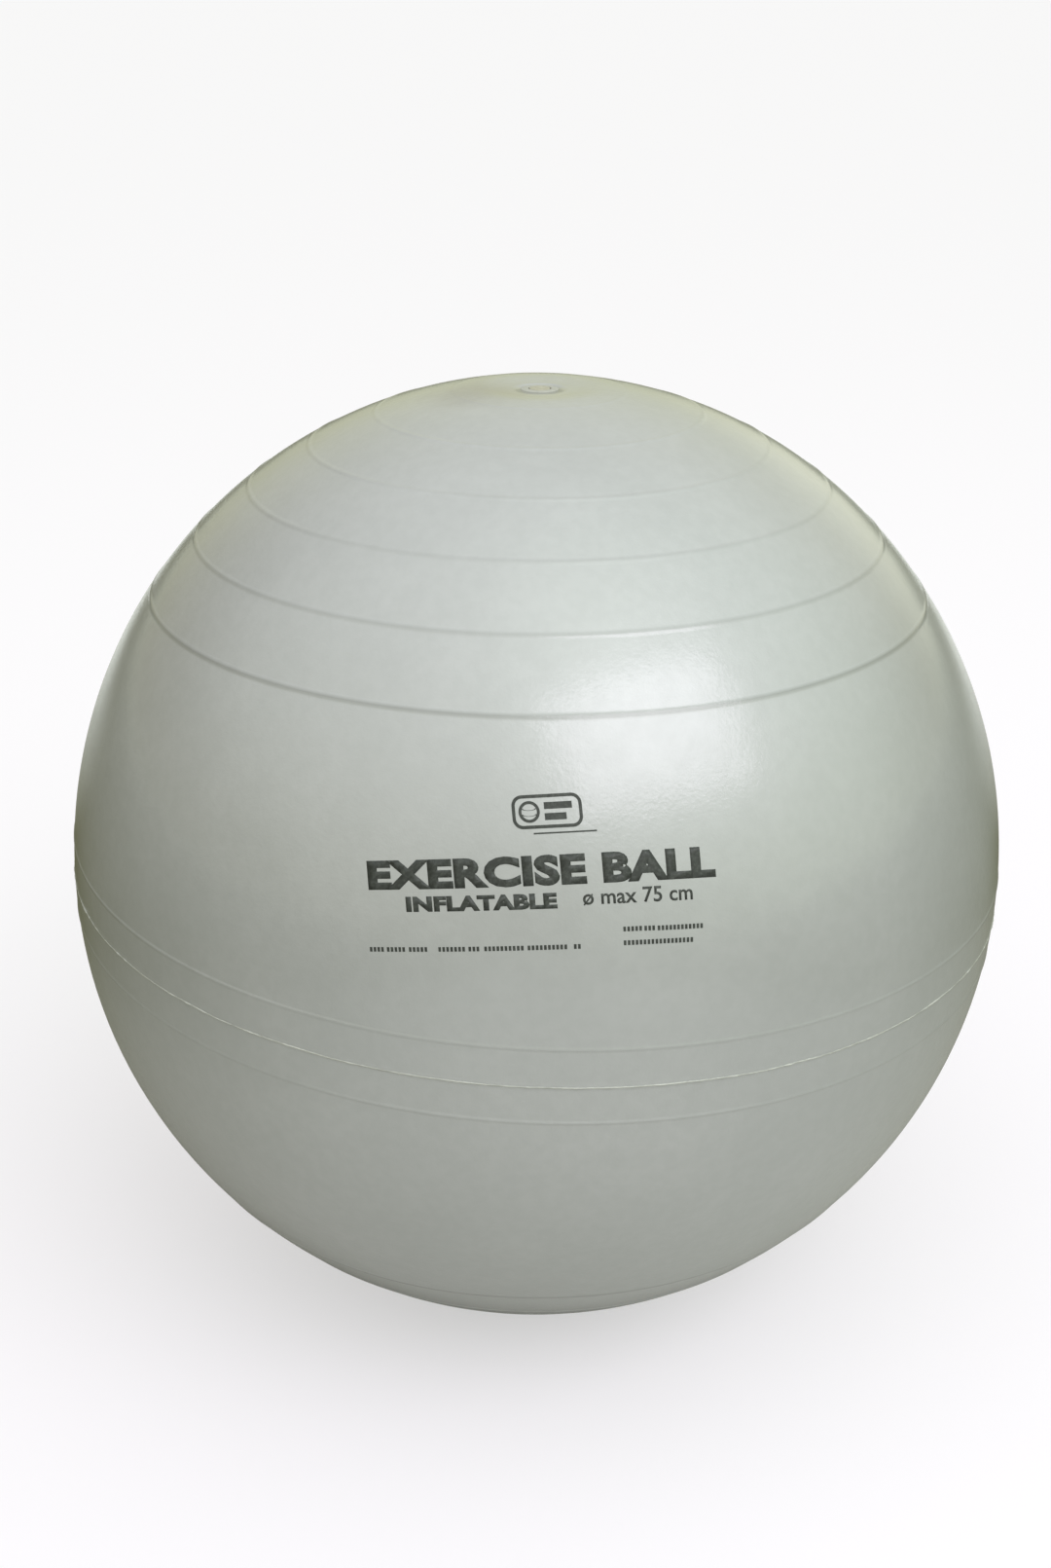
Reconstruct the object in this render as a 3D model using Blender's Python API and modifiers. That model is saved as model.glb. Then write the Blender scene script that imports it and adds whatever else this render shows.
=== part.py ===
"""An inflatable exercise ball: a ribbed one-piece skin, its valve seat and the plug that closes it.

Metres, +Z up. The origin is the middle of the flattened patch that the ball stands on, and the valve is at
the top pole. A latitude here is the angle t, in degrees, of an ellipse's point at radius EQUATOR_RADIUS cos t
and height POLAR_RADIUS sin t above the ball's centre.
"""

import math

import bpy
from mathutils import Matrix, Vector

# Skin: the ball stands a little taller than it is wide
EQUATOR_RADIUS = 0.371
POLAR_RADIUS = 0.379
WALL = 0.0009
FOOT_RADIUS = 0.045
SEGMENTS = 40

# Raised rings, in degrees of latitude: five evenly spaced and one round the valve, in each half
LOWEST_RING = 36.85
RING_SPACING = 8.44
SPACED_RINGS = 5
CROWN_RING = 79.9
RING_WIDTH = 0.0052
RING_HEIGHT = 0.0004
CROWN_RING_HEIGHT = 0.0002

# The belt round the widest place: two edge lines and the mould's parting line between them
BELT_TOP = 4.2
BELT_BOTTOM = -4.2
BELT_LINE_WIDTH = 0.0036
BELT_LINE_HEIGHT = 0.0005
PARTING_WIDTH = 0.0020
PARTING_HEIGHT = 0.0006
BELT_LEAN = 2.24
LEAN_FULL_TO = 8.0
LEAN_NONE_FROM = 34.0

# Most degrees between two rows of the skin, outside and inside
OUTER_STEP = 5.0
INNER_STEP = 4.5

# The shallow dish round the valve, with a flat land in its middle
DISH_RADIUS = 0.060
DISH_DEPTH = 0.005
DISH_STEPS = 4
LAND_RADIUS = 0.022
SKIN_HOLE_RADIUS = 0.012

# Valve seat
GAP = 0.0003
VALVE_SEGMENTS = 32
BORE_RADIUS = 0.0052
RECESS_RADIUS = 0.0086
RECESS_DEPTH = 0.0018
FLANGE_RADIUS = 0.0200
FLANGE_THICKNESS = 0.0021
NECK_RADIUS = 0.0082
NECK_LENGTH = 0.0190
NECK_CHAMFER = 0.0008

# Valve plug
HEAD_RADIUS = 0.0080
HEAD_PROUD = 0.0007
HEAD_EDGE = 0.0006
STEM_RADIUS = 0.0039
BARB_RADIUS = BORE_RADIUS - GAP
BARBS = 3
BARB_PITCH = 0.0048
BARB_TAPER = 0.0032
STEM_LEAD = 0.0030
TIP_RADIUS = 0.0028
TIP_LENGTH = 0.0022

# The foot is where the skin is as wide as FOOT_RADIUS, and it lies at height 0
FOOT_LATITUDE = -math.degrees(math.acos(FOOT_RADIUS / EQUATOR_RADIUS))
CENTRE_HEIGHT = -POLAR_RADIUS * math.sin(math.radians(FOOT_LATITUDE))
LAND_HEIGHT = CENTRE_HEIGHT + POLAR_RADIUS - DISH_DEPTH


def clear_scene():
    for old in list(bpy.data.objects):
        bpy.data.objects.remove(old, do_unlink=True)


def make_collection(name):
    collection = bpy.data.collections.new(name)
    bpy.context.scene.collection.children.link(collection)
    return collection


def make_material(name, colour, roughness, metallic):
    material = bpy.data.materials.new(name)
    material.use_nodes = True
    shader = material.node_tree.nodes["Principled BSDF"]
    shader.inputs["Base Color"].default_value = (*colour, 1.0)
    shader.inputs["Roughness"].default_value = roughness
    shader.inputs["Metallic"].default_value = metallic
    material.diffuse_color = (*colour, 1.0)
    return material


def smoothstep(value):
    value = min(max(value, 0.0), 1.0)
    return value * value * (3.0 - 2.0 * value)


def latitude_at(radius):
    """The upper half's latitude where the skin is this far from the axis."""
    return math.degrees(math.acos(radius / EQUATOR_RADIUS))


def skin_point(latitude, inset=0.0, raised=0.0):
    """(radius, height) of the skin, this far inside its outer face or raised this far above it."""
    angle = math.radians(latitude)
    offset = raised - inset
    radius = max((EQUATOR_RADIUS + offset) * math.cos(angle), 0.0)
    height = CENTRE_HEIGHT + (POLAR_RADIUS + offset) * math.sin(angle)
    if latitude > 0.0 and radius < DISH_RADIUS:
        land = LAND_HEIGHT + offset
        share = smoothstep((radius - LAND_RADIUS) / (DISH_RADIUS - LAND_RADIUS))
        height = land + (height - land) * share
    return radius, max(height, -offset)


def raised_lines():
    """Every raised line as (latitude, width, height)."""
    upper = [(LOWEST_RING + RING_SPACING * i, RING_WIDTH, RING_HEIGHT) for i in range(SPACED_RINGS)]
    upper.append((CROWN_RING, RING_WIDTH, CROWN_RING_HEIGHT))
    lower = [(-latitude, width, height) for latitude, width, height in upper]
    belt = [(latitude, BELT_LINE_WIDTH, BELT_LINE_HEIGHT) for latitude in (BELT_TOP, BELT_BOTTOM)]
    return upper + lower + belt + [(0.0, PARTING_WIDTH, PARTING_HEIGHT)]


def rib_rows(latitude, width, height):
    """A raised line's three rows as (latitude, how far raised)."""
    half = math.degrees(width / 2 / EQUATOR_RADIUS)
    return [(latitude + half, 0.0), (latitude, height), (latitude - half, 0.0)]


def with_rows_between(rows, step):
    """The rows, top to bottom, with plain ones added wherever two are more than step degrees apart."""
    rows = sorted(rows, reverse=True)
    filled = [rows[0]]
    for upper, lower in zip(rows, rows[1:]):
        count = math.ceil((upper[0] - lower[0]) / step)
        for i in range(1, count):
            filled.append((upper[0] + (lower[0] - upper[0]) * i / count, 0.0))
        filled.append(lower)
    return filled


def dish_rows():
    """Plain rows from the land's edge to the dish's edge."""
    step = (DISH_RADIUS - LAND_RADIUS) / DISH_STEPS
    return [(latitude_at(LAND_RADIUS + step * i), 0.0) for i in range(DISH_STEPS + 1)]


def skin_profile():
    """The skin's section: from the axis up the inside, through the hole's wall, and down the outside."""
    plain_rows = dish_rows() + [(FOOT_LATITUDE, 0.0)]
    ribs = []
    for latitude, width, height in raised_lines():
        ribs += rib_rows(latitude, width, height)
    outer_rows = with_rows_between(plain_rows + ribs, OUTER_STEP)
    inner_rows = with_rows_between(plain_rows, INNER_STEP)
    outside = [skin_point(latitude, raised=raised) for latitude, raised in outer_rows]
    inside = [skin_point(latitude, inset=WALL) for latitude, _ in inner_rows]
    hole = [(SKIN_HOLE_RADIUS, LAND_HEIGHT - WALL), (SKIN_HOLE_RADIUS, LAND_HEIGHT)]
    return [(0.0, WALL)] + inside[::-1] + hole + outside + [(0.0, 0.0)]


def turned(name, profile, segments, collection, closed=False):
    """A profile of (radius, height) points turned about the Z axis by a Screw modifier, as a plain mesh."""
    outline = bpy.data.meshes.new(name + "_profile")
    edges = [(i, i + 1) for i in range(len(profile) - 1)]
    if closed:
        edges.append((len(profile) - 1, 0))
    outline.from_pydata([(radius, 0.0, height) for radius, height in profile], edges, [])
    guide = bpy.data.objects.new(name + "_guide", outline)
    collection.objects.link(guide)
    screw = guide.modifiers.new("Turn", "SCREW")
    screw.steps = segments
    screw.render_steps = segments
    screw.use_merge_vertices = True
    screw.merge_threshold = 0.00001
    bpy.context.view_layer.update()
    graph = bpy.context.evaluated_depsgraph_get()
    mesh = bpy.data.meshes.new_from_object(guide.evaluated_get(graph))
    bpy.data.objects.remove(guide, do_unlink=True)
    mesh.name = name
    return mesh


def lean_belt(mesh):
    """Tips the belt about the Y axis, and lets the tilt die out before it reaches the rings."""
    centre = Vector((0.0, 0.0, CENTRE_HEIGHT))
    for vertex in mesh.vertices:
        arm = vertex.co - centre
        across = math.hypot(arm.x, arm.y) / EQUATOR_RADIUS
        latitude = abs(math.degrees(math.atan2(arm.z / POLAR_RADIUS, across)))
        fade = smoothstep((latitude - LEAN_FULL_TO) / (LEAN_NONE_FROM - LEAN_FULL_TO))
        tilt = Matrix.Rotation(math.radians(BELT_LEAN) * (1.0 - fade), 3, "Y")
        vertex.co = centre + tilt @ arm


def place(name, mesh, material, collection, sharp_over):
    mesh.materials.clear()
    mesh.materials.append(material)
    mesh.shade_smooth()
    mesh.set_sharp_from_angle(angle=math.radians(sharp_over))
    piece = bpy.data.objects.new(name, mesh)
    collection.objects.link(piece)
    return piece


def make_shell(collection):
    mesh = turned("ball_shell", skin_profile(), SEGMENTS, collection)
    lean_belt(mesh)
    skin = make_material("pearl_pvc", (0.46, 0.47, 0.48), 0.42, 0.15)
    return place("ball_shell", mesh, skin, collection, 60.0)


def seat_profile():
    """The seat's section round its bore, clockwise from the bore's top, with heights from the land."""
    collar = SKIN_HOLE_RADIUS - GAP
    flange_top = -WALL - GAP
    flange_bottom = flange_top - FLANGE_THICKNESS
    neck_end = flange_bottom - NECK_LENGTH
    return [
        (BORE_RADIUS, -RECESS_DEPTH),
        (RECESS_RADIUS, -RECESS_DEPTH),
        (RECESS_RADIUS, 0.0),
        (collar, 0.0),
        (collar, flange_top),
        (FLANGE_RADIUS, flange_top),
        (FLANGE_RADIUS, flange_bottom),
        (NECK_RADIUS, flange_bottom),
        (NECK_RADIUS, neck_end + NECK_CHAMFER),
        (NECK_RADIUS - NECK_CHAMFER, neck_end),
        (BORE_RADIUS, neck_end),
    ]


def make_seat(collection):
    profile = [(radius, LAND_HEIGHT + height) for radius, height in seat_profile()]
    mesh = turned("valve_seat", profile, VALVE_SEGMENTS, collection, closed=True)
    soft_grey = make_material("seat_pvc", (0.38, 0.38, 0.34), 0.5, 0.0)
    return place("valve_seat", mesh, soft_grey, collection, 30.0)


def plug_profile():
    """The plug's outside from the middle of its head to its tip, with heights from the plug's origin."""
    underside = GAP - RECESS_DEPTH
    points = [
        (0.0, HEAD_PROUD),
        (HEAD_RADIUS - 2 * HEAD_EDGE, HEAD_PROUD),
        (HEAD_RADIUS, HEAD_PROUD - HEAD_EDGE),
        (HEAD_RADIUS, underside + HEAD_EDGE / 2),
        (HEAD_RADIUS - HEAD_EDGE / 2, underside),
        (STEM_RADIUS, underside),
    ]
    for i in range(BARBS):
        shoulder = underside - STEM_LEAD - BARB_PITCH * i
        points += [(STEM_RADIUS, shoulder), (BARB_RADIUS, shoulder), (STEM_RADIUS, shoulder - BARB_TAPER)]
    tip = underside - STEM_LEAD - BARB_PITCH * BARBS
    return points + [(STEM_RADIUS, tip), (TIP_RADIUS, tip - TIP_LENGTH), (0.0, tip - TIP_LENGTH)]


def make_plug(collection):
    """Its origin is on the slide's axis, level with the land round the valve."""
    mesh = turned("valve_plug", plug_profile(), VALVE_SEGMENTS, collection)
    ivory = make_material("plug_pvc", (0.46, 0.44, 0.35), 0.45, 0.0)
    plug = place("valve_plug", mesh, ivory, collection, 30.0)
    plug.location = (0.0, 0.0, LAND_HEIGHT)
    return plug


def main():
    clear_scene()
    ball = make_collection("exercise_ball")
    make_shell(ball)
    make_seat(ball)
    make_plug(ball)


main()
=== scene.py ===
"""Looks of the exercise ball: its ringed pearl-grey skin, valve and print, and a plain studio round them.

Metres, in the CAD model's frame. A latitude is the angle t of an ellipse's point (EQUATOR_RADIUS cos t,
POLAR_RADIUS sin t), and an azimuth is counted from the printed side, -Y, towards +X, both in degrees.
"""

import math

import bmesh
import bpy
import numpy as np
from mathutils import Matrix, Vector, noise


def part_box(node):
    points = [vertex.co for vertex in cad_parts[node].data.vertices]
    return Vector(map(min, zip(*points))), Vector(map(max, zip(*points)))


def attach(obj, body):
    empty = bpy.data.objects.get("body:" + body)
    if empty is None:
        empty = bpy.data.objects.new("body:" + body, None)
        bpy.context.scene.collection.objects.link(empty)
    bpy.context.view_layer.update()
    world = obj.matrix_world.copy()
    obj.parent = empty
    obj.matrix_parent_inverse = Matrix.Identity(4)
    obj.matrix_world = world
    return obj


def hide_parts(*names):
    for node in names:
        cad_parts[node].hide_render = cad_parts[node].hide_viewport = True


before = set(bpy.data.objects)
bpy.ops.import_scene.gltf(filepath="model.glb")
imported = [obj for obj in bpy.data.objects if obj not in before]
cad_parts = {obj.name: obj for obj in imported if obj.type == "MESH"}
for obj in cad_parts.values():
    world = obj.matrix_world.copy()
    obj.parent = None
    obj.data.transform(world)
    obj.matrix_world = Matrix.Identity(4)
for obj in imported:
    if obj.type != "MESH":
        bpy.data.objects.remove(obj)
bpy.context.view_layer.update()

# Skin: sizes that the frame doesn't give repeat the CAD model's
WALL = 0.0009
GAP = 0.0003
FOOT_RADIUS = 0.045
RING_WIDTH = 0.0052
RING_HEIGHT = 0.0004
CROWN_RING_HEIGHT = 0.0002
BELT_LINE_WIDTH = 0.0036
BELT_LINE_HEIGHT = 0.0005
PARTING_HEIGHT = 0.0006
LOWEST_RING = 36.85
RING_SPACING = 8.44
CROWN_RING = 79.9
BELT_TOP = 4.2
BELT_BOTTOM = -4.2
BELT_LEAN = 2.24
LEAN_FULL_TO = 8.0
LEAN_NONE_FROM = 34.0
DISH_RADIUS = 0.060
DISH_DEPTH = 0.005
LAND_RADIUS = 0.022
SKIN_HOLE_RADIUS = 0.012

# Looks that the CAD model leaves out: a softened edge at the foot, a low swell along the parting line,
# and a darkening along the raised lines, partly dirt and partly painted shade, the rings' from the lowest one
# up
FOOT_SOFTNESS = 0.0008
PARTING_SWELL_WIDTH = 0.0050
PARTING_SWELL_HEIGHT = 0.0003
RING_GRIME_AND_SHADE = (1.75, 0.90, 0.45, 0.18, 0.0)
BELT_GRIME_AND_SHADE = 0.18
PARTING_GRIME_AND_SHADE = 0.40

# Sizes that come from the frame
shell_low, shell_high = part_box("ball_shell")
LAND_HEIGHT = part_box("valve_seat")[1].z
EQUATOR_RADIUS = (shell_high.y - shell_low.y) / 2 - PARTING_HEIGHT
FOOT_LATITUDE = -math.degrees(math.acos(FOOT_RADIUS / EQUATOR_RADIUS))
POLAR_RADIUS = (LAND_HEIGHT + DISH_DEPTH) / (1 - math.sin(math.radians(FOOT_LATITUDE)))
CENTRE = Vector((0.0, 0.0, LAND_HEIGHT + DISH_DEPTH - POLAR_RADIUS))

# How finely the skin is made: places across a rib in half widths, degrees a row and faces a turn
RIB_PLACES = (-1.35, -1.0, -0.5, 0.0, 0.5, 1.0, 1.35)
OUTER_STEP = 1.6
PRINT_STEP = 1.0
INNER_STEP = 4.0
LAST_ROW = -89.0
SEGMENTS = 320

# The soft skin is never quite true: the height and the length of its waves, and the degrees of latitude
# in which they die out towards the foot and towards the valve
SWELL_HEIGHT = 0.00045
SWELL_LENGTH = 0.16
RIPPLE_HEIGHT = 0.00007
RIPPLE_LENGTH = 0.030
CALM_TO_FOOT = 8.0
CALM_TO_VALVE = 6.0

# Camera: looks at the ball from the front and above. A fitting program found its values and BELT_LEAN from
# the ball's outline and rings.
CAMERA_ELEVATION = 25.24
CAMERA_DISTANCE = 4.167 * EQUATOR_RADIUS
CAMERA_LENS = 42.92
CAMERA_ROLL = 0.36
AIM_ABOVE = 0.0477
AIM_LEFT = 0.0089


def smoothstep(value):
    value = np.clip(value, 0.0, 1.0)
    return value * value * (3.0 - 2.0 * value)


def latitude_at(radius):
    """The upper half's latitude where the skin is this far from the axis."""
    return math.degrees(math.acos(radius / EQUATOR_RADIUS))


def section(latitude, raised):
    """Radius and height of the skin at these latitudes, raised this far above its outer face."""
    angle = np.radians(latitude)
    radius = np.maximum((EQUATOR_RADIUS + raised) * np.cos(angle), 0.0)
    height = CENTRE.z + (POLAR_RADIUS + raised) * np.sin(angle)
    land = LAND_HEIGHT + raised
    share = smoothstep((radius - LAND_RADIUS) / (DISH_RADIUS - LAND_RADIUS))
    dished = (latitude > 0.0) & (radius < DISH_RADIUS)
    height = np.where(dished, land + (height - land) * share, height)
    # The floor holds the outer face up, and the inner face stays a wall above it
    lowest = -np.minimum(raised, 0.0)
    above = height - lowest
    return radius, lowest + (above + np.sqrt(above**2 + FOOT_SOFTNESS**2)) / 2


def waves(points):
    """How far the skin swells out of true at each point."""
    swell = [noise.noise(Vector(p) / SWELL_LENGTH) for p in points]
    ripple = [noise.noise(Vector(p) / RIPPLE_LENGTH + Vector((7.0, 3.0, 1.0))) for p in points]
    return SWELL_HEIGHT * np.array(swell) + RIPPLE_HEIGHT * np.array(ripple)


def skin_points(latitude, azimuth, raised):
    """Points of the skin, with the belt's lean and the waves in them."""
    radius, height = section(latitude, raised)
    turn = np.radians(azimuth)
    arm = np.stack([radius * np.sin(turn), -radius * np.cos(turn), height - CENTRE.z], axis=1)
    fade = smoothstep((np.abs(latitude) - LEAN_FULL_TO) / (LEAN_NONE_FROM - LEAN_FULL_TO))
    lean = np.radians(BELT_LEAN) * (1.0 - fade)
    x = arm[:, 0] * np.cos(lean) + arm[:, 2] * np.sin(lean)
    z = arm[:, 2] * np.cos(lean) - arm[:, 0] * np.sin(lean)
    arm = np.stack([x, arm[:, 1], z], axis=1)
    clear_of_foot = smoothstep((latitude - FOOT_LATITUDE) / CALM_TO_FOOT)
    clear_of_valve = smoothstep((latitude_at(LAND_RADIUS) - latitude) / CALM_TO_VALVE)
    swell = waves(arm) * clear_of_foot * clear_of_valve
    outward = arm / np.maximum(np.linalg.norm(arm, axis=1), 1e-6)[:, None]
    return arm + np.array(CENTRE) + outward * swell[:, None]


def rib_rows(latitude, width, height, grime_and_shade):
    """A rounded raised line's rows as (latitude, how far raised, how dark with dirt and painted shade)."""
    half = math.degrees(width / 2 / EQUATOR_RADIUS)
    rows = []
    for across in RIB_PLACES:
        swell = math.cos(math.pi / 2 * min(abs(across), 1.0)) ** 2
        rows.append((latitude + half * across, height * swell, grime_and_shade * swell))
    return rows


def all_ribs():
    """Rows for the parting line's swell, the belt's two lines, and the rings of both halves."""
    ribs = rib_rows(0.0, PARTING_SWELL_WIDTH, PARTING_SWELL_HEIGHT, PARTING_GRIME_AND_SHADE)
    for latitude in (BELT_TOP, BELT_BOTTOM):
        ribs += rib_rows(latitude, BELT_LINE_WIDTH, BELT_LINE_HEIGHT, BELT_GRIME_AND_SHADE)
    for side in (1, -1):
        for i, grime_and_shade in enumerate(RING_GRIME_AND_SHADE):
            ribs += rib_rows(side * (LOWEST_RING + RING_SPACING * i), RING_WIDTH, RING_HEIGHT, grime_and_shade)
        ribs += rib_rows(side * CROWN_RING, RING_WIDTH, CROWN_RING_HEIGHT, 0.0)
    return ribs


def step_between(upper, lower):
    """Closer rows where the print lies, because the ink has to follow the skin."""
    printed = lower > BELT_TOP and upper < LOWEST_RING
    return PRINT_STEP if printed else OUTER_STEP


def with_rows_between(rows, step_for):
    """The rows, top to bottom, with plain ones added wherever two are too far apart."""
    rows = sorted(rows, reverse=True)
    filled = [rows[0]]
    for upper, lower in zip(rows, rows[1:]):
        count = math.ceil((upper[0] - lower[0]) / step_for(upper[0], lower[0]))
        for i in range(1, count):
            filled.append((upper[0] + (lower[0] - upper[0]) * i / count, 0.0, 0.0))
        filled.append(lower)
    return filled


def new_object(name, vertices, faces):
    mesh = bpy.data.meshes.new(name)
    mesh.from_pydata([tuple(v) for v in vertices], [], faces)
    mesh.update()
    mesh.shade_smooth()
    piece = bpy.data.objects.new(name, mesh)
    bpy.context.scene.collection.objects.link(piece)
    return piece


def loft(rows, segments, closed):
    """Quads between rings of segments points each, and from the last ring to the first if closed."""
    faces = []
    for row in range(rows if closed else rows - 1):
        upper = row * segments
        lower = (row + 1) % rows * segments
        for i in range(segments):
            j = (i + 1) % segments
            faces.append((upper + i, lower + i, lower + j, upper + j))
    return faces


def finish_piece(piece, material, body):
    piece.data.materials.clear()
    piece.data.materials.append(material)
    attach(piece, body)


# ---------------------------------------------------------------- the skin


def make_skin(material):
    """One closed skin: down the outside from the hole at the top, up the inside and through the hole."""
    edge = latitude_at(SKIN_HOLE_RADIUS)
    plain = [(edge, 0.0, 0.0), (FOOT_LATITUDE, 0.0, 0.0), (LAST_ROW, 0.0, 0.0)]
    outer = with_rows_between(plain + all_ribs(), step_between)
    inner = with_rows_between(plain, lambda upper, lower: INNER_STEP)
    inner = [(latitude, -WALL, 0.0) for latitude, _, _ in reversed(inner)]
    rows = np.array(outer + inner)
    azimuth = np.arange(SEGMENTS) * 360.0 / SEGMENTS
    latitude = np.repeat(rows[:, 0], SEGMENTS)
    raised = np.repeat(rows[:, 1], SEGMENTS)
    grime_and_shade = np.repeat(rows[:, 2], SEGMENTS)
    azimuth = np.tile(azimuth, len(rows))
    points = skin_points(latitude, azimuth, raised)
    faces = loft(len(outer), SEGMENTS, False)
    start = len(outer) * SEGMENTS
    faces += [tuple(index + start for index in face) for face in loft(len(inner), SEGMENTS, False)]

    # The pole under the foot, outside and inside, and the ends of the two lofts at the hole
    foot_out = len(points)
    foot_in = foot_out + 1
    middle = [(0.0, 0.0, points[start - 1][2]), (0.0, 0.0, points[start][2])]
    points = np.vstack([points, middle])
    last_out = start - SEGMENTS
    last_in = start + (len(inner) - 1) * SEGMENTS
    for i in range(SEGMENTS):
        j = (i + 1) % SEGMENTS
        faces.append((last_out + j, last_out + i, foot_out))
        faces.append((start + i, start + j, foot_in))
        faces.append((last_in + i, i, j, last_in + j))
    skin = new_object("skin", points, faces)
    # The ribs' darkening, partly dirt and partly painted shade, goes to the material as a point attribute
    grime_and_shade_layer = skin.data.attributes.new("grime_and_shade", "FLOAT", "POINT")
    grime_and_shade_layer.data.foreach_set("value", np.append(grime_and_shade, [0.0, 0.0]).astype(np.float32))
    finish_piece(skin, material, "ball")
    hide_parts("ball_shell")


# The ragged flash that the mould left along the parting line
FLASH_SEGMENTS = 1400
FLASH_HALF_WIDTH = 0.0006
FLASH_LEAST = 0.00032
FLASH_MOST = 0.0009
FLASH_WANDER = 0.0006
FLASH_ROOT = -WALL / 3


def make_flash(material):
    """A thin uneven fin along the equator, rooted in the skin."""
    azimuth = np.arange(FLASH_SEGMENTS) * 360.0 / FLASH_SEGMENTS
    turn = np.radians(azimuth)
    round_it = [Vector((math.sin(a), -math.cos(a), 0.0)) for a in turn]

    def unevenness(scale, lift):
        return np.array([noise.noise(p * scale + Vector((0.0, 0.0, lift))) for p in round_it])

    wander = unevenness(11.0, 3.0)
    rough = unevenness(60.0, 9.0)
    torn = unevenness(190.0, 5.0)
    share = np.clip(0.25 + 1.1 * rough + 0.9 * torn + 0.8 * wander, 0.0, 1.0)
    height = FLASH_LEAST + (FLASH_MOST - FLASH_LEAST) * share
    middle = np.degrees(FLASH_WANDER * (wander + 0.6 * torn) / EQUATOR_RADIUS)
    half = math.degrees(FLASH_HALF_WIDTH / EQUATOR_RADIUS)
    root = np.full(FLASH_SEGMENTS, FLASH_ROOT)
    shoulder = np.full(FLASH_SEGMENTS, PARTING_SWELL_HEIGHT)
    tip_half = half * (0.25 + 0.35 * share)
    section_points = [
        (half, root),
        (half * 0.9, shoulder),
        (tip_half, height),
        (-tip_half, height),
        (-half * 0.9, shoulder),
        (-half, root),
    ]
    points = np.vstack([skin_points(middle + offset, azimuth, raised) for offset, raised in section_points])
    flash = new_object("parting_flash", points, loft(len(section_points), FLASH_SEGMENTS, True))
    finish_piece(flash, material, "ball")


# ---------------------------------------------------------------- the valve

TURNED_SEGMENTS = 96
FILLET_STEPS = 4
FILLET_RADIUS = 0.0004
SHARP_OVER = 50


def rounded(profile, radius):
    """A section's corners rounded with short curves, each by its own third number or else by radius.

    Its two ends stay as they are.
    """
    made = [profile[0][:2]]
    for before, corner, after in zip(profile, profile[1:], profile[2:]):
        reach = corner[2] if len(corner) > 2 else radius
        at = Vector(corner[:2])
        back = Vector(before[:2]) - at
        ahead = Vector(after[:2]) - at
        first = at + back.normalized() * min(reach, back.length / 2)
        last = at + ahead.normalized() * min(reach, ahead.length / 2)
        for i in range(FILLET_STEPS + 1):
            t = i / FILLET_STEPS
            made.append(tuple(first.lerp(at, t).lerp(at.lerp(last, t), t)))
    made.append(profile[-1][:2])
    return made


def turned(name, profile, closed):
    """A section of (radius, height) points turned about Z."""
    guide = bpy.data.meshes.new(name)
    edges = [(i, i + 1) for i in range(len(profile) - 1)]
    if closed:
        edges.append((len(profile) - 1, 0))
    guide.from_pydata([(radius, 0.0, height) for radius, height in profile], edges, [])
    piece = bpy.data.objects.new(name, guide)
    bpy.context.scene.collection.objects.link(piece)
    screw = piece.modifiers.new("Turn", "SCREW")
    screw.steps = screw.render_steps = TURNED_SEGMENTS
    screw.use_merge_vertices = True
    screw.merge_threshold = 0.00001
    bpy.context.view_layer.update()
    mesh = bpy.data.meshes.new_from_object(piece.evaluated_get(bpy.context.evaluated_depsgraph_get()))
    piece.modifiers.clear()
    piece.data = mesh
    mesh.name = name
    mesh.shade_smooth()
    mesh.set_sharp_from_angle(angle=math.radians(SHARP_OVER))
    return piece


BORE_RADIUS = 0.0052
RECESS_RADIUS = 0.0086
RECESS_DEPTH = 0.0018
SEAT_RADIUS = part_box("valve_seat")[1].x
SEAT_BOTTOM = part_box("valve_seat")[0].z
FLANGE_TOP = LAND_HEIGHT - WALL - GAP
FLANGE_BOTTOM = FLANGE_TOP - 0.0021
NECK_RADIUS = 0.0082
COLLAR_RADIUS = SKIN_HOLE_RADIUS - GAP

# The weld is a low bead over the gap between the seat and the skin, sunk a little into the skin
WELD_RADIUS = 0.0142
WELD_TOP = LAND_HEIGHT + 0.0005
WELD_EDGE = LAND_HEIGHT + 0.000125
WELD_ROOT = LAND_HEIGHT - 0.0002


def make_seat(material):
    """The moulded insert, with the low ring of weld that joins it to the skin."""
    recess_floor = LAND_HEIGHT - RECESS_DEPTH
    profile = [
        (BORE_RADIUS, SEAT_BOTTOM),
        (BORE_RADIUS, recess_floor, 0.0006),
        (RECESS_RADIUS, recess_floor, 0.0005),
        (RECESS_RADIUS, WELD_TOP, 0.0004),
        (SKIN_HOLE_RADIUS, WELD_TOP, 0.0006),
        (WELD_RADIUS, WELD_EDGE, 0.0006),
        (WELD_RADIUS, WELD_ROOT, 0.0001),
        (COLLAR_RADIUS, WELD_ROOT, 0.0001),
        (COLLAR_RADIUS, FLANGE_TOP, 0.0001),
        (SEAT_RADIUS, FLANGE_TOP, 0.0005),
        (SEAT_RADIUS, FLANGE_BOTTOM, 0.0005),
        (NECK_RADIUS, FLANGE_BOTTOM, 0.0012),
        (NECK_RADIUS, SEAT_BOTTOM, 0.0008),
        (BORE_RADIUS, SEAT_BOTTOM),
    ]
    seat = turned("valve_seat_fine", rounded(profile, FILLET_RADIUS)[:-1], True)
    finish_piece(seat, material, "ball")
    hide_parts("valve_seat")


PLUG_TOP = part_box("valve_plug")[1].z
PLUG_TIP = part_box("valve_plug")[0].z
HEAD_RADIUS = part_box("valve_plug")[1].x
STEM_RADIUS = 0.0039
BARB_RADIUS = 0.0049
BARBS = 3
BARB_PITCH = 0.0048
BARB_TAPER = 0.0032
STEM_LEAD = 0.0030
TIP_RADIUS = 0.0028
TIP_LENGTH = 0.0022

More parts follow.
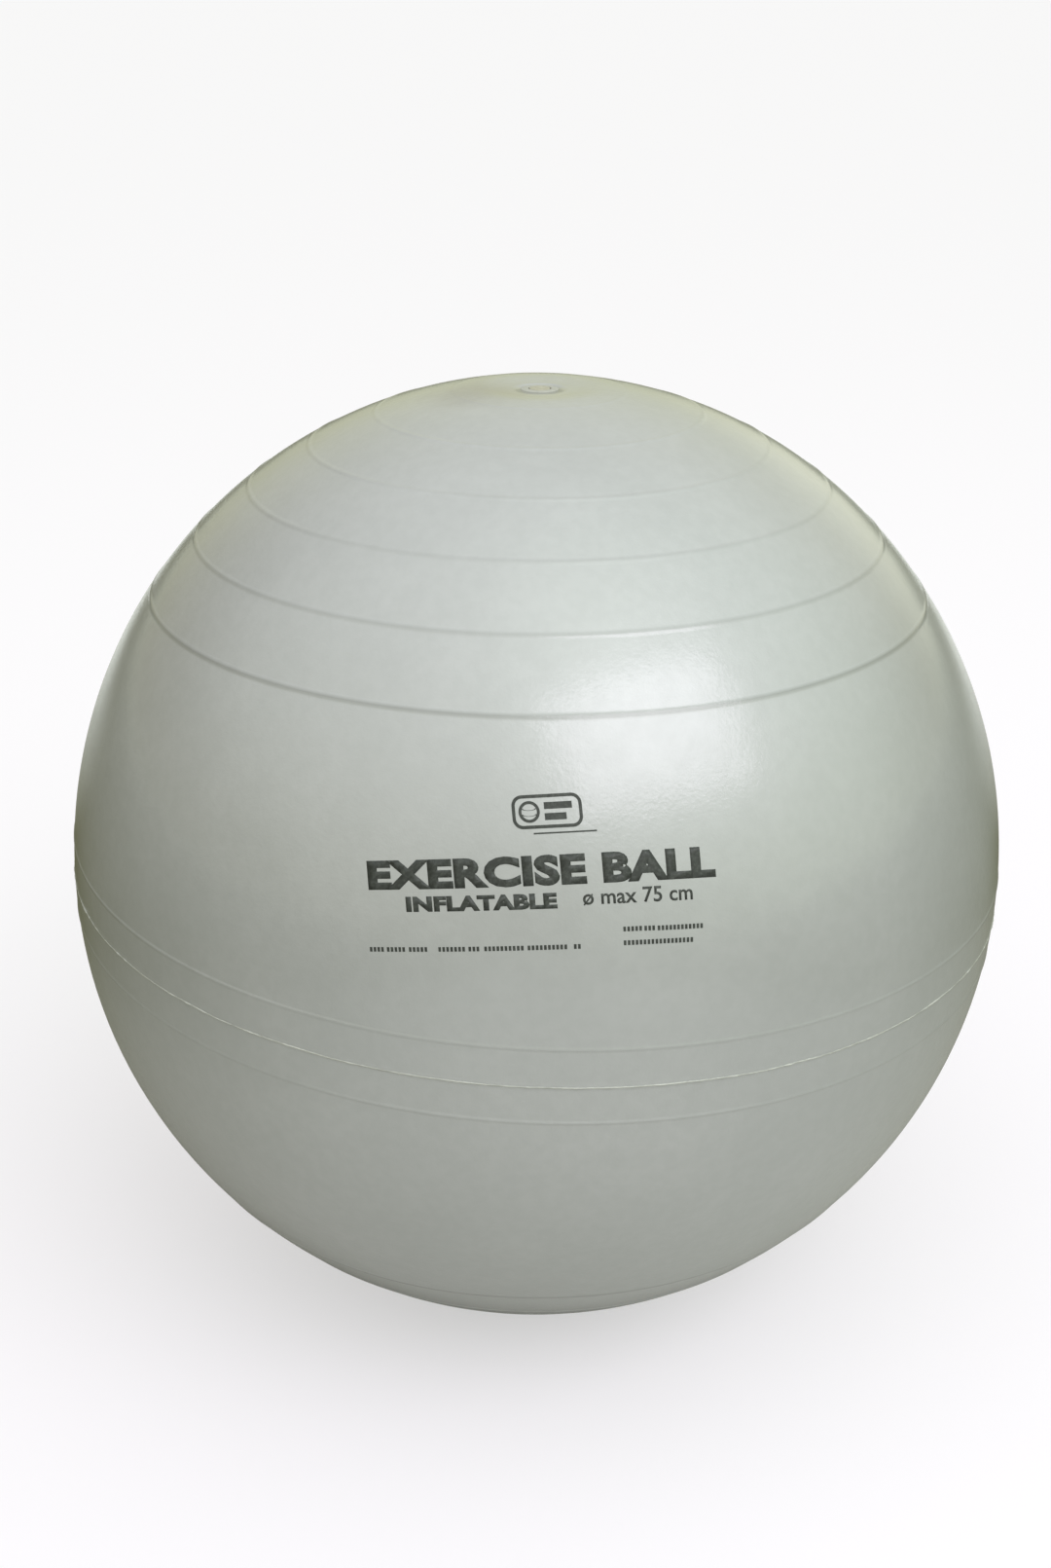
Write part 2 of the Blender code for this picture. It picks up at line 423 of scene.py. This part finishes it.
# The head's rolled rim stands round a shallow finger groove, with a button in the groove's middle
RIM_RADIUS = 0.0056
GROOVE_OUTER = 0.0046
GROOVE_INNER = 0.0014
GROOVE_BELOW_RIM = 0.0004
BUTTON_RADIUS = 0.0010
BUTTON_BELOW_RIM = 0.0001
EDGE_BELOW_RIM = 0.0001


def make_plug(material):
    """The stopper: a head with a rolled rim and a finger groove, and a barbed stem."""
    underside = LAND_HEIGHT - RECESS_DEPTH + GAP
    profile = [
        (0.0, PLUG_TOP - BUTTON_BELOW_RIM),
        (BUTTON_RADIUS, PLUG_TOP - BUTTON_BELOW_RIM, 0.0002),
        (GROOVE_INNER, PLUG_TOP - GROOVE_BELOW_RIM, 0.0002),
        (GROOVE_OUTER, PLUG_TOP - GROOVE_BELOW_RIM, 0.0006),
        (RIM_RADIUS, PLUG_TOP, 0.0005),
        (HEAD_RADIUS, PLUG_TOP - EDGE_BELOW_RIM, 0.0007),
        (HEAD_RADIUS, underside, 0.0005),
        (STEM_RADIUS, underside, 0.0006),
    ]
    for i in range(BARBS):
        shoulder = underside - STEM_LEAD - BARB_PITCH * i
        profile += [
            (STEM_RADIUS, shoulder, 0.0003),
            (BARB_RADIUS, shoulder, 0.0002),
            (STEM_RADIUS, shoulder - BARB_TAPER, 0.0006),
        ]
    profile += [
        (STEM_RADIUS, PLUG_TIP + TIP_LENGTH, 0.0006),
        (TIP_RADIUS, PLUG_TIP, 0.0008),
        (0.0, PLUG_TIP),
    ]
    plug = turned("valve_plug_fine", rounded(profile, FILLET_RADIUS), False)
    finish_piece(plug, material, "plug")
    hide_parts("valve_plug")


# ---------------------------------------------------------------- the print

PRINT_AZIMUTH = 1.1
PRINT_LATITUDE = 22.1
PRINT_TURN = 3.35
PRINT_CELL = 0.005
INK_ABOVE = 0.00006
INK_BELOW = 0.00006
CUT_WITHIN = 1e-6
JOIN_WITHIN = 2e-6


def bent_on_skin(flat):
    """Print points (x along its lines, y up) laid on the skin, along great circles through its middle."""
    turn = Matrix.Rotation(math.radians(PRINT_TURN), 3, "Y")
    lift = Matrix.Rotation(math.radians(-PRINT_LATITUDE), 3, "X")
    swing = Matrix.Rotation(math.radians(PRINT_AZIMUTH), 3, "Z")
    across = flat[:, 0] / EQUATOR_RADIUS
    up = flat[:, 1] / EQUATOR_RADIUS
    facing = np.stack([np.cos(up) * np.sin(across), -np.cos(up) * np.cos(across), np.sin(up)], axis=1)
    facing = facing @ np.array((swing @ lift @ turn.inverted())).T
    latitude = np.degrees(np.arcsin(facing[:, 2]))
    azimuth = np.degrees(np.arctan2(facing[:, 0], -facing[:, 1]))
    return latitude, azimuth


def ink_piece(name, flat_mesh, material):
    """A flat mesh cut into small cells, bent onto the skin and given the ink's thickness."""
    cut = bmesh.new()
    cut.from_mesh(flat_mesh)
    for axis, normal in enumerate((Vector((1.0, 0.0, 0.0)), Vector((0.0, 1.0, 0.0)))):
        places = [v.co[axis] for v in cut.verts]
        low = min(places)
        for i in range(1, math.ceil((max(places) - low) / PRINT_CELL)):
            geometry = cut.verts[:] + cut.edges[:] + cut.faces[:]
            at = normal * (low + i * PRINT_CELL)
            bmesh.ops.bisect_plane(cut, geom=geometry, plane_co=at, plane_no=normal, dist=CUT_WITHIN)
    bmesh.ops.triangulate(cut, faces=cut.faces[:])
    bmesh.ops.remove_doubles(cut, verts=cut.verts[:], dist=JOIN_WITHIN)
    for face in cut.faces:
        if face.normal.z < 0:
            face.normal_flip()
    flat = np.array([v.co[:] for v in cut.verts])
    latitude, azimuth = bent_on_skin(flat)
    points = skin_points(latitude, azimuth, np.full(len(flat), INK_ABOVE))
    for vertex, point in zip(cut.verts, points):
        vertex.co = point
    mesh = bpy.data.meshes.new(name)
    cut.to_mesh(mesh)
    cut.free()
    piece = bpy.data.objects.new(name, mesh)
    bpy.context.scene.collection.objects.link(piece)
    thick = piece.modifiers.new("Ink", "SOLIDIFY")
    thick.thickness = INK_ABOVE + INK_BELOW
    thick.offset = -1.0
    finish_piece(piece, material, "ball")


def words(text, centre, width, height, weight):
    """A flat mesh of lettering, fitted to a box in the print's own plane."""
    curve = bpy.data.curves.new("lettering", "FONT")
    curve.body = text
    curve.offset = weight
    curve.space_character = 1.0 + weight
    curve.resolution_u = 4
    holder = bpy.data.objects.new("lettering", curve)
    bpy.context.scene.collection.objects.link(holder)
    bpy.context.view_layer.update()
    mesh = bpy.data.meshes.new_from_object(holder.evaluated_get(bpy.context.evaluated_depsgraph_get()))
    bpy.data.objects.remove(holder)
    place = np.array([v.co[:2] for v in mesh.vertices])
    low, high = place.min(axis=0), place.max(axis=0)
    scale = np.array([width, height]) / (high - low)
    fitted = (place - (low + high) / 2) * scale + np.array(centre)
    for vertex, (x, y) in zip(mesh.vertices, fitted):
        vertex.co = (x, y, 0.0)
    return mesh


def bands(outlines):
    """A flat mesh of bands. Each is a list of (inner point, outer point) pairs, and whether its ends join."""
    shape = bmesh.new()
    for pairs, joined in outlines:
        rails = [(shape.verts.new((*a, 0.0)), shape.verts.new((*b, 0.0))) for a, b in pairs]
        if joined:
            rails.append(rails[0])
        for (a, b), (c, d) in zip(rails, rails[1:]):
            shape.faces.new((a, b, d, c))
    mesh = bpy.data.meshes.new("bands")
    shape.to_mesh(mesh)
    shape.free()
    return mesh


def bar(left, right, level, thickness):
    """A straight band along the print's lines."""
    bottom = level - thickness / 2
    top = level + thickness / 2
    return [((left, bottom), (left, top)), ((right, bottom), (right, top))], False


def arc(centre, radius, start, stop, thickness, flatten=1.0, steps=48, joined=False):
    """A band along an ellipse's arc, in degrees, whose height is flatten times its width."""
    pairs = []
    for i in range(steps if joined else steps + 1):
        a = math.radians(start + (stop - start) * i / steps)
        across = math.cos(a)
        up = flatten * math.sin(a)
        rails = (radius - thickness / 2, radius + thickness / 2)
        pairs.append(tuple((centre[0] + r * across, centre[1] + r * up) for r in rails))
    return pairs, joined


# The lettering: name of the piece, words, middle, width, height and weight
LETTERING = (
    ("print_title", "EXERCISE BALL", (-0.0055, 0.0), 0.2255, 0.0192, 0.056),
    ("print_kind", "INFLATABLE", (-0.0455, -0.0189), 0.0970, 0.0098, 0.060),
    ("print_size", "ø max 75 cm", (0.0550, -0.0178), 0.0713, 0.0100, 0.015),
)

# The sign: a rounded frame, and in it a ball at the left and two bars at the right
SIGN_AT = (0.0018, 0.0363)
SIGN_WIDTH = 0.0425
SIGN_HEIGHT = 0.0190
SIGN_CORNER = 0.0055
SIGN_LINE = 0.0021
CORNER_STEPS = 8
BALL_AT = (SIGN_AT[0] - SIGN_WIDTH / 4 - 0.0008, SIGN_AT[1])
BALL_RADIUS = 0.0058
BALL_LINE = 0.0019
BALL_STEPS = 64
BAR_LEFT = SIGN_AT[0] - 0.0018
BAR_ENDS = (SIGN_AT[0] + 0.0160, SIGN_AT[0] + 0.0120)
BAR_LEVELS = (SIGN_AT[1] + 0.0034, SIGN_AT[1] - 0.0034)
BAR_THICKNESS = 0.0043

# The ball's rings in the sign: their heights as shares of its inner radius, and how they are drawn
RING_SHARES = (0.42, -0.32)
RING_LINE = 0.0010
RING_FLATTEN = 0.28
RING_INSET = 0.0002
RING_STEPS = 24

# The underline of the sign, and the rows of ticks: each row's level, with its groups' left and right ends
UNDERLINE = (-0.0080, 0.0320, 0.0228, 0.0010)
TICK_LENGTH = 0.0017
TICK_GAP = 0.0009
TICK_HEIGHT = 0.0030
TICK_ROWS = (
    (-0.0383, ((0.0441, 0.0560),)),
    (-0.0384, ((0.0578, 0.0640),)),
    (-0.0386, ((0.0665, 0.0955),)),
    (-0.0469, ((0.0441, 0.0909),)),
    (-0.0480, (
        (-0.1210, -0.1125),
        (-0.1093, -0.0960),
        (-0.0945, -0.0814),
        (-0.0750, -0.0579),
        (-0.0554, -0.0490),
        (-0.0452, -0.0190),
        (-0.0175, 0.0081),
        (0.0120, 0.0160),
    )),
)


def ticks(left, right, level):
    """A row of short thick strokes, about as long as asked."""
    count = round((right - left + TICK_GAP) / (TICK_LENGTH + TICK_GAP))
    starts = [left + (TICK_LENGTH + TICK_GAP) * i for i in range(max(count, 1))]
    return [bar(start, start + TICK_LENGTH, level, TICK_HEIGHT) for start in starts]


def rounded_frame(centre, width, height, corner, thickness):
    """A band round a rectangle with rounded corners."""
    pairs = []
    for quarter, (right, up) in enumerate(((1, 1), (-1, 1), (-1, -1), (1, -1))):
        x = centre[0] + right * (width / 2 - corner)
        y = centre[1] + up * (height / 2 - corner)
        for i in range(CORNER_STEPS + 1):
            a = math.radians(90 * quarter + 90 * i / CORNER_STEPS)
            rails = (corner - thickness / 2, corner + thickness / 2)
            pairs.append(tuple((x + r * math.cos(a), y + r * math.sin(a)) for r in rails))
    return pairs, True


def make_sign(material):
    """A framed ball sign."""
    sign = [
        rounded_frame(SIGN_AT, SIGN_WIDTH, SIGN_HEIGHT, SIGN_CORNER, SIGN_LINE),
        arc(BALL_AT, BALL_RADIUS, 0, 360, BALL_LINE, steps=BALL_STEPS, joined=True),
    ]
    for end, level in zip(BAR_ENDS, BAR_LEVELS):
        sign.append(bar(BAR_LEFT, end, level, BAR_THICKNESS))
    inside = BALL_RADIUS - BALL_LINE / 2
    for share in RING_SHARES:
        middle = (BALL_AT[0], BALL_AT[1] + inside * share)
        reach = inside * math.cos(math.asin(share)) - RING_INSET
        sign.append(arc(middle, reach, 180, 360, RING_LINE, flatten=RING_FLATTEN, steps=RING_STEPS))
    ink_piece("print_sign", bands(sign), material)


def make_print(material):
    """Generic print in place of the maker's: a framed ball sign, what the object is, its size, and ticks."""
    make_sign(material)
    for name, text, middle, width, height, weight in LETTERING:
        ink_piece(name, words(text, middle, width, height, weight), material)
    rows = [bar(*UNDERLINE)]
    for level, groups in TICK_ROWS:
        for left, right in groups:
            rows += ticks(left, right, level)
    ink_piece("print_rows", bands(rows), material)


# ---------------------------------------------------------------- materials


class Nodes:
    """Short calls for building one node tree."""

    def __init__(self, tree):
        self.tree = tree

    def add(self, kind, **settings):
        node = self.tree.nodes.new(kind)
        for key, value in settings.items():
            setattr(node, key, value)
        return node

    def link(self, source, target):
        self.tree.links.new(source, target)

    def join(self, sources, sockets):
        """Gives each socket its source: another node's output, a colour or a number."""
        for socket, value in zip(sockets, sources):
            if isinstance(value, bpy.types.NodeSocket):
                self.link(value, socket)
            else:
                socket.default_value = (*value, 1.0) if isinstance(value, tuple) else value

    def spread(self, value, low, high, to_low, to_high, kind="LINEAR"):
        node = self.add("ShaderNodeMapRange", clamp=True, interpolation_type=kind)
        for key, number in (("From Min", low), ("From Max", high), ("To Min", to_low), ("To Max", to_high)):
            node.inputs[key].default_value = number
        self.link(value, node.inputs["Value"])
        return node.outputs["Result"]

    def mix(self, share, first, second, blend="MIX"):
        node = self.add("ShaderNodeMix", data_type="RGBA", blend_type=blend)
        self.join((share, first, second), (node.inputs[0], node.inputs[6], node.inputs[7]))
        return node.outputs[2]

    def math(self, operation, first, second):
        node = self.add("ShaderNodeMath", operation=operation)
        self.join((first, second), (node.inputs[0], node.inputs[1]))
        return node.outputs[0]

    def for_camera(self, seen, otherwise, output):
        """Ends the tree with one shader for what the camera sees, and another for all other light."""
        mix = self.add("ShaderNodeMixShader")
        self.link(self.add("ShaderNodeLightPath").outputs["Is Camera Ray"], mix.inputs[0])
        self.link(otherwise.outputs[0], mix.inputs[1])
        self.link(seen.outputs[0], mix.inputs[2])
        self.link(mix.outputs[0], output.inputs["Surface"])


class MaterialNodes(Nodes):
    """A new material's tree, with its Principled shader and its object coordinates at hand."""

    def __init__(self, name):
        self.material = bpy.data.materials.new(name)
        self.material.use_nodes = True
        super().__init__(self.material.node_tree)
        self.shader = self.tree.nodes["Principled BSDF"]
        self.place = self.add("ShaderNodeTexCoord").outputs["Object"]

    def set(self, **values):
        for key, value in values.items():
            self.shader.inputs[key.replace("_", " ")].default_value = value

    def noise(self, scale, detail=3.0, roughness=0.5):
        node = self.add("ShaderNodeTexNoise")
        node.inputs["Scale"].default_value = scale
        node.inputs["Detail"].default_value = detail
        node.inputs["Roughness"].default_value = roughness
        self.link(self.place, node.inputs["Vector"])
        return node.outputs["Fac"]

    def distance_from(self, middle, spread=(1.0, 1.0, 1.0)):
        """Distance from a place, with each direction measured in units of its own."""
        place = self.add("ShaderNodeMapping", vector_type="TEXTURE")
        place.inputs["Location"].default_value = middle
        place.inputs["Scale"].default_value = spread
        self.link(self.place, place.inputs["Vector"])
        distance = self.add("ShaderNodeVectorMath", operation="LENGTH")
        self.link(place.outputs["Vector"], distance.inputs[0])
        return distance.outputs["Value"]

    def bump(self, height, strength, distance, before=None):
        node = self.add("ShaderNodeBump")
        node.inputs["Strength"].default_value = strength
        node.inputs["Distance"].default_value = distance
        self.link(height, node.inputs["Height"])
        if before is not None:
            self.link(before, node.inputs["Normal"])
        return node.outputs["Normal"]


# A faint dark patch in the colour beside the valve
DARK_PATCH_AT = (-0.044, -0.016, LAND_HEIGHT)
DARK_PATCH_FULL_TO = 0.004
DARK_PATCH_NONE_FROM = 0.056
DARK_PATCH_RAGGED = 0.005
DARK_PATCH_STRENGTH = 0.42


def make_skin_material():
    """Pearl-grey PVC: a faintly mottled colour, fine grain, and a soft sheen with a thin gloss over it."""
    n = MaterialNodes("pearl_pvc")
    n.set(Metallic=0.15, IOR=1.5, Coat_Weight=1.0, Coat_Roughness=0.15)

    # Colour: broad mottle, smaller clouds, flecks, then a darkening along the ribs, partly dirt and partly
    # painted shade, and a dark patch beside the valve
    mottle = n.spread(n.noise(5.0, 4.0, 0.6), 0.35, 0.65, 0.0, 1.0)
    colour = n.mix(mottle, (0.444, 0.454, 0.462), (0.486, 0.494, 0.506))
    cloud = n.spread(n.noise(28.0, 5.0, 0.65), 0.3, 0.7, 0.0, 1.0)
    colour = n.mix(n.math("MULTIPLY", cloud, 0.25), colour, (0.416, 0.427, 0.434))
    fleck = n.spread(n.noise(120.0, 2.0, 0.5), 0.35, 0.65, 0.0, 0.20)
    colour = n.mix(fleck, colour, (0.380, 0.388, 0.394))
    rib = n.add("ShaderNodeAttribute", attribute_name="grime_and_shade").outputs["Fac"]
    # Dirt and painted shade along the ribs: the colour is pulled towards (0.16, 0.165, 0.15)
    colour = n.mix(n.math("MULTIPLY", rib, 0.30), colour, (0.16, 0.165, 0.15))
    # A ragged patch beside the valve, darkened towards (0.20, 0.175, 0.165)
    away = n.distance_from(DARK_PATCH_AT)
    ragged = n.spread(n.noise(40.0, 4.0, 0.6), 0.3, 0.7, -DARK_PATCH_RAGGED, DARK_PATCH_RAGGED)
    reach = n.math("ADD", away, ragged)
    dark_patch = n.spread(reach, DARK_PATCH_FULL_TO, DARK_PATCH_NONE_FROM, DARK_PATCH_STRENGTH, 0.0, "SMOOTHSTEP")
    colour = n.mix(dark_patch, colour, (0.20, 0.175, 0.165))
    n.link(colour, n.shader.inputs["Base Color"])
    rough = n.spread(n.noise(45.0, 4.0, 0.6), 0.3, 0.7, 0.38, 0.46)
    n.link(rough, n.shader.inputs["Roughness"])

    # Relief: a fine orange peel, which the thin gloss shows most, and a finer grain
    peel = n.noise(340.0, 3.0, 0.55)
    grain = n.noise(900.0, 2.0, 0.5)
    n.link(n.bump(grain, 0.12, 0.0003, n.bump(peel, 0.18, 0.0005)), n.shader.inputs["Normal"])
    n.link(n.bump(peel, 0.32, 0.0005), n.shader.inputs["Coat Normal"])
    return n.material


def make_flash_material():
    """The same PVC, torn thin, so rougher, and paler: partly its own colour and partly a painted glint along
    the fin.
    """
    n = MaterialNodes("pearl_pvc_flash")
    n.set(Metallic=0.1, IOR=1.5)
    patch = n.spread(n.noise(70.0, 3.0, 0.6), 0.35, 0.65, 0.0, 1.0)
    # Paler than the skin: the fin's own colour, with a painted glint in it
    n.link(n.mix(patch, (0.41, 0.42, 0.40), (0.58, 0.59, 0.56)), n.shader.inputs["Base Color"])
    n.link(n.spread(n.noise(300.0, 2.0), 0.3, 0.7, 0.4, 0.6), n.shader.inputs["Roughness"])
    return n.material


def make_seat_material():
    """Pale grey moulded PVC, matter than the skin."""
    n = MaterialNodes("seat_pvc")
    n.set(IOR=1.5)
    worn = n.spread(n.noise(160.0, 4.0, 0.6), 0.3, 0.7, 0.0, 1.0)
    n.link(n.mix(worn, (0.40, 0.40, 0.37), (0.46, 0.46, 0.43)), n.shader.inputs["Base Color"])
    n.link(n.spread(worn, 0.0, 1.0, 0.42, 0.58), n.shader.inputs["Roughness"])
    n.link(n.bump(n.noise(1400.0, 2.0), 0.15, 0.0002), n.shader.inputs["Normal"])
    return n.material


def make_plug_material():
    """Ivory PVC that has yellowed and picked up some grime."""
    n = MaterialNodes("plug_pvc")
    n.set(IOR=1.5)
    grime_and_shade = n.spread(n.noise(220.0, 5.0, 0.65), 0.35, 0.7, 0.0, 0.6)
    n.link(n.mix(grime_and_shade, (0.47, 0.455, 0.38), (0.30, 0.27, 0.20)), n.shader.inputs["Base Color"])
    n.link(n.spread(grime_and_shade, 0.0, 0.6, 0.38, 0.6), n.shader.inputs["Roughness"])
    n.link(n.bump(n.noise(1200.0, 2.0), 0.12, 0.0002), n.shader.inputs["Normal"])
    return n.material


def make_ink_material():
    """Dark grey printing ink, a little thin in places."""
    n = MaterialNodes("printing_ink")
    n.set(IOR=1.45)
    thin = n.spread(n.noise(420.0, 4.0, 0.7), 0.45, 0.75, 0.0, 0.6)
    n.link(n.mix(thin, (0.034, 0.038, 0.035), (0.10, 0.11, 0.10)), n.shader.inputs["Base Color"])
    n.link(n.spread(n.noise(90.0, 3.0), 0.3, 0.7, 0.42, 0.55), n.shader.inputs["Roughness"])
    return n.material


# ---------------------------------------------------------------- the studio

FLOOR_SIZE = 400.0

# Pools of light painted on the floor as the ball sees it, in front and behind: middle, half sizes and colour
LIT_PATCHES = (
    ((0.1, -2.2, 0.0), (1.0, 2.2, 1.0), (0.52, 0.51, 0.50)),
    ((0.0, 2.8, 0.0), (1.7, 1.4, 1.0), (0.85, 0.84, 0.86)),
)
LIT_TO = 0.9
DIM_FROM = 1.5

# The floor round about is painted dim, as shade, and far off it is painted bright again
DIM_COLOUR = (0.09, 0.085, 0.03)
FAR_COLOUR = (0.75, 0.75, 0.66)
DIM_TO = 12.0
FAR_FROM = 35.0

# What the camera sees of the floor: a diffuse share that takes the shadow, and a lift that keeps it pale
SEEN_DIFFUSE = (0.465, 0.435, 0.484)
SEEN_LIFT = (0.50, 0.50, 0.50)


def make_floor():
    """A pale floor. The ball sees light and shade painted on it: lit in front and behind, dim round about,
    and bright again far off.
    """
    bpy.ops.mesh.primitive_plane_add(size=FLOOR_SIZE, location=(0.0, 0.0, 0.0))
    floor = bpy.context.object
    floor.name = "floor"
    n = MaterialNodes("pale_floor")
    n.tree.nodes.remove(n.shader)
    shaded = n.add("ShaderNodeBsdfDiffuse")
    shaded.inputs["Color"].default_value = (*SEEN_DIFFUSE, 1.0)
    lifted = n.add("ShaderNodeEmission")
    lifted.inputs["Color"].default_value = (*SEEN_LIFT, 1.0)
    seen = n.add("ShaderNodeAddShader")
    n.link(shaded.outputs[0], seen.inputs[0])
    n.link(lifted.outputs[0], seen.inputs[1])
    # The colour the ball sees: painted shade round about, painted light in the patches and far off
    colour = DIM_COLOUR
    for middle, spread, patch_colour in LIT_PATCHES:
        lit = n.spread(n.distance_from(middle, spread), LIT_TO, DIM_FROM, 1.0, 0.0)
        colour = n.mix(lit, colour, patch_colour)
    far = n.spread(n.distance_from((0.0, 0.0, 0.0)), DIM_TO, FAR_FROM, 0.0, 1.0)
    bounce = n.add("ShaderNodeBsdfDiffuse")
    n.link(n.mix(far, colour, FAR_COLOUR), bounce.inputs["Color"])
    n.for_camera(seen, bounce, n.tree.nodes["Material Output"])
    floor.data.materials.append(n.material)


def direction(azimuth, elevation):
    turn = math.radians(azimuth)
    lift = math.radians(elevation)
    return Vector((math.cos(lift) * math.sin(turn), -math.cos(lift) * math.cos(turn), math.sin(lift)))


# Soft glows of the room: azimuth, elevation, how many degrees each reaches, colour. The first four and
# AMBIENT are rounded results of a least-squares program fitted to the ball's shading, with two greens and
# AMBIENT's blue changed by hand. The fifth began there and was reworked. The last was given.
GLOWS = (
    (0, 90, 90, (0.12, 0.12, 0.30)),
    (64, 40, 67, (0.74, 0.91, 0.73)),
    (-43, 58, 68, (0.91, 0.96, 0.87)),
    (173, 21, 62, (0.43, 0.46, 0.34)),
    (151, 1, 23, (0.37, 0.37, 0.36)),
    (-120, 5, 50, (0.06, 0.06, 0.07)),
)
AMBIENT = (0.139, 0.117, 0.005)
BACKDROP = (0.935, 0.935, 0.935)


def make_world():
    """The room's light as soft glows over a dim warm ground. The camera sees only a pale backdrop."""
    world = bpy.data.worlds.new("room")
    bpy.context.scene.world = world
    world.use_nodes = True
    n = Nodes(world.node_tree)
    n.tree.nodes.clear()
    towards = n.add("ShaderNodeTexCoord").outputs["Generated"]
    light = AMBIENT
    for azimuth, elevation, reach, colour in GLOWS:
        dot = n.add("ShaderNodeVectorMath", operation="DOT_PRODUCT")
        dot.inputs[1].default_value = direction(azimuth, elevation)
        n.link(towards, dot.inputs[0])
        edge = math.cos(math.radians(reach))
        share = n.spread(dot.outputs["Value"], edge, 1.0, 0.0, 1.0, "SMOOTHSTEP")
        light = n.mix(share, light, colour, "ADD")
    room = n.add("ShaderNodeBackground")
    n.link(light, room.inputs["Color"])
    seen = n.add("ShaderNodeBackground")
    seen.inputs["Color"].default_value = (*BACKDROP, 1.0)
    n.for_camera(seen, room, n.add("ShaderNodeOutputWorld"))


WINDOW_TOWARDS = direction(34, 43)
WINDOW_DISTANCE = 4.0
WINDOW_WIDTH = 3.0
WINDOW_HEIGHT = 2.0
WINDOW_BRIGHTNESS = 3.05
WINDOW_COLOUR = (0.95, 0.88, 1.0)


def make_window():
    """One large soft window at the front right."""
    data = bpy.data.lights.new("window", "AREA")
    data.shape = "RECTANGLE"
    data.size = WINDOW_WIDTH
    data.size_y = WINDOW_HEIGHT
    data.energy = WINDOW_BRIGHTNESS * math.pi * WINDOW_WIDTH * WINDOW_HEIGHT
    data.color = WINDOW_COLOUR
    window = bpy.data.objects.new("window", data)
    window.location = CENTRE + WINDOW_TOWARDS * WINDOW_DISTANCE
    window.rotation_euler = WINDOW_TOWARDS.to_track_quat("Z", "Y").to_euler()
    window.visible_camera = False
    bpy.context.scene.collection.objects.link(window)


def make_camera():
    data = bpy.data.cameras.new("camera")
    data.lens = CAMERA_LENS
    camera = bpy.data.objects.new("camera", data)
    bpy.context.scene.collection.objects.link(camera)
    elevation = math.radians(CAMERA_ELEVATION)
    back = Vector((0.0, -math.cos(elevation), math.sin(elevation)))
    up = Vector((0.0, math.sin(elevation), math.cos(elevation)))
    camera.location = CENTRE + back * CAMERA_DISTANCE
    aim = CENTRE + up * AIM_ABOVE - Vector((AIM_LEFT, 0.0, 0.0))
    look = (aim - camera.location).to_track_quat("-Z", "Y")
    roll = Matrix.Rotation(math.radians(CAMERA_ROLL), 3, "Z").to_quaternion()
    camera.rotation_euler = (look @ roll).to_euler()
    bpy.context.scene.camera = camera


def main():
    make_camera()
    make_skin(make_skin_material())
    make_flash(make_flash_material())
    make_seat(make_seat_material())
    make_plug(make_plug_material())
    make_print(make_ink_material())
    make_floor()
    make_world()
    make_window()
    bpy.context.scene.view_settings.view_transform = "Standard"


main()
